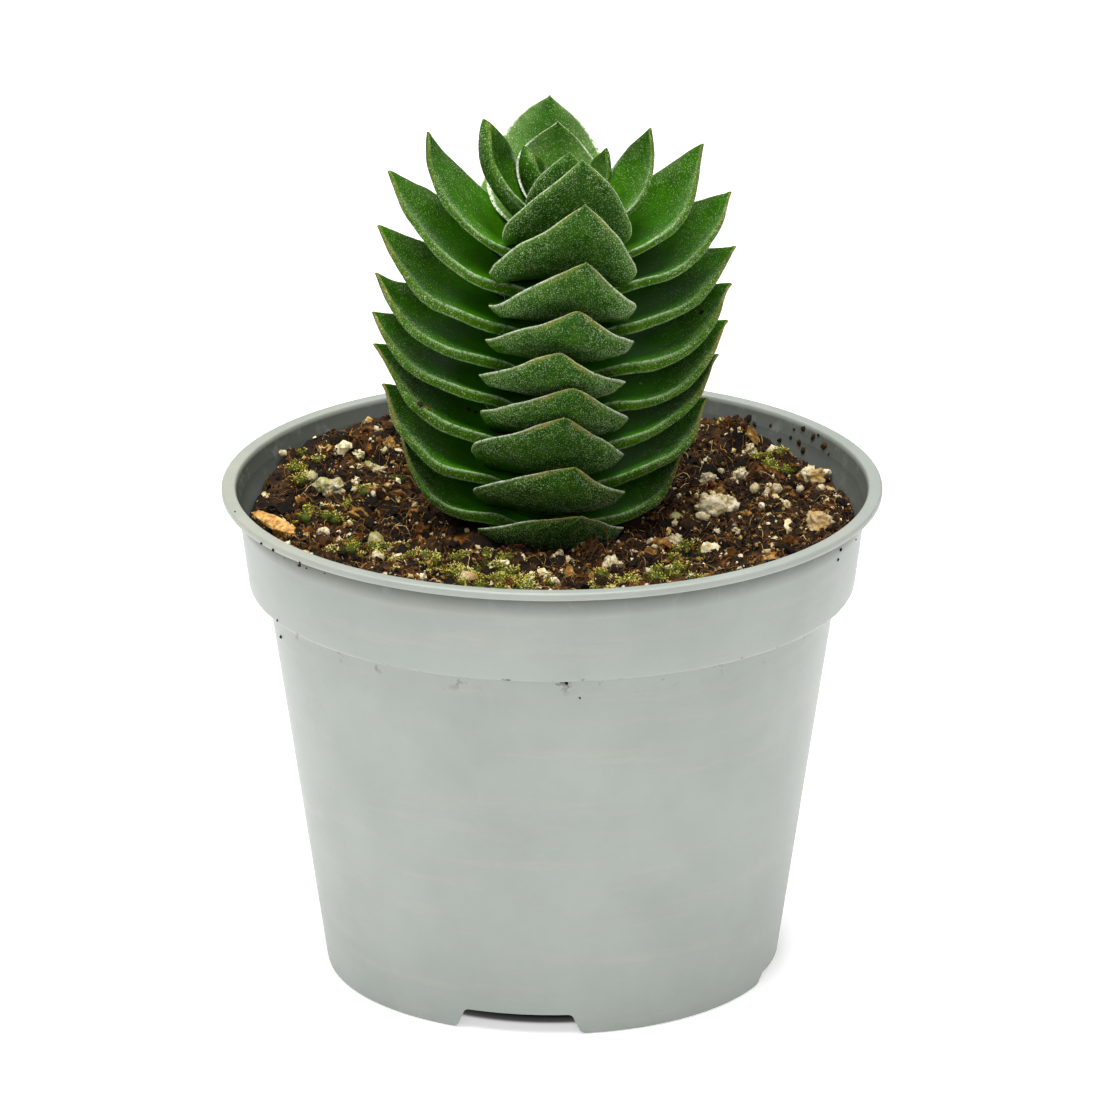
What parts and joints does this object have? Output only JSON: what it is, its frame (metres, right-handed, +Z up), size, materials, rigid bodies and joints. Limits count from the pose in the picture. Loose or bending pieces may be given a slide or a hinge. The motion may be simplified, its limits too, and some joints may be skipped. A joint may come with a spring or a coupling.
{
  "type": "potted succulent",
  "caption": "Buddha's Temple crassula in a round plastic nursery pot: a square column of stacked, upcurved, pointed leaves standing in peat soil with pale grit.",
  "frame": {"origin": "centre of the pot's foot, on the surface it stands on", "axes": "+Z up, out of the pot; -Y is the front, the side with the foot notch that the picture shows; +X to the right seen from the front"},
  "size_m": [0.09, 0.09, 0.1204],
  "materials": {
    "pot_plastic": "matte pale grey polypropylene, faintly bluish, with a little dirt",
    "soil": "crumbly dark brown peat and bark, with moss",
    "stem": "dull green stem, hidden by the leaf bases",
    "leaf": "deep green, softly glossy above, hoary with fine white papillae below and on the margins",
    "perlite": "rough white and cream grains",
    "bark": "rough tan bark"
  },
  "bodies": {
    "root": {"pot": "pot_plastic", "soil": "soil", "stem": "stem", "leaf_pair_01": "leaf", "leaf_pair_02": "leaf", "leaf_pair_03": "leaf", "leaf_pair_04": "leaf", "leaf_pair_05": "leaf", "leaf_pair_06": "leaf", "leaf_pair_07": "leaf", "leaf_pair_08": "leaf", "leaf_pair_09": "leaf", "leaf_pair_10": "leaf", "leaf_pair_11": "leaf", "leaf_pair_12": "leaf", "leaf_pair_13": "leaf", "leaf_pair_14": "leaf", "leaf_pair_15": "leaf", "leaf_pair_16": "leaf", "leaf_pair_17": "leaf", "leaf_pair_18": "leaf", "leaf_pair_19": "leaf", "leaf_pair_20": "leaf", "growing_tip": "leaf", "perlite_grain_01": "perlite", "perlite_grain_02": "perlite", "perlite_grain_03": "perlite", "perlite_grain_04": "perlite", "perlite_grain_05": "perlite", "perlite_grain_06": "perlite", "perlite_grain_07": "perlite", "perlite_grain_08": "perlite", "perlite_grain_09": "perlite", "perlite_grain_10": "perlite", "perlite_grain_11": "perlite", "perlite_grain_12": "perlite", "bark_chip": "bark"}
  },
  "joints": []
}
